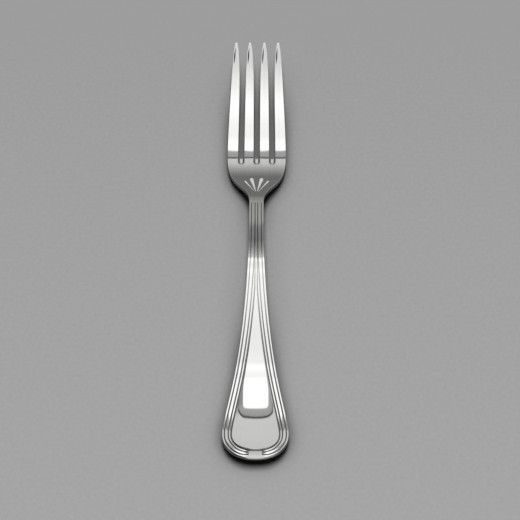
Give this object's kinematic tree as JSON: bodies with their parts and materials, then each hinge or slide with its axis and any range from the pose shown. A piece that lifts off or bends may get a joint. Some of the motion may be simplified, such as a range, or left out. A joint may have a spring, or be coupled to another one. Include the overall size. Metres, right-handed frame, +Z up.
{
  "type": "child fork",
  "caption": "Small child's table fork with pointed tines, an arched neck and a flared handle edged by raised thread lines, with a little fan on the head.",
  "frame": {"origin": "on the table, under the middle of the fork's length and width, as it lies with the tines curving up", "axes": "+Y from the handle end to the tine tips, +X to the right, +Z up from the table"},
  "size_m": [0.02, 0.15, 0.0108],
  "materials": {
    "polished_steel": "mirror polished stainless steel with fine scratches from use",
    "moulding_steel": "polished stainless steel, a little duller and darker down in the grooves"
  },
  "bodies": {
    "root": {"left_outer_tine": "polished_steel", "left_inner_tine": "polished_steel", "right_inner_tine": "polished_steel", "right_outer_tine": "polished_steel", "head": "polished_steel", "neck": "polished_steel", "handle": "polished_steel", "rim_thread": "moulding_steel", "left_thread": "moulding_steel", "right_thread": "moulding_steel", "left_fine_thread": "moulding_steel", "right_fine_thread": "moulding_steel", "centre_panel": "polished_steel", "fan_ornament": "moulding_steel"}
  },
  "joints": []
}
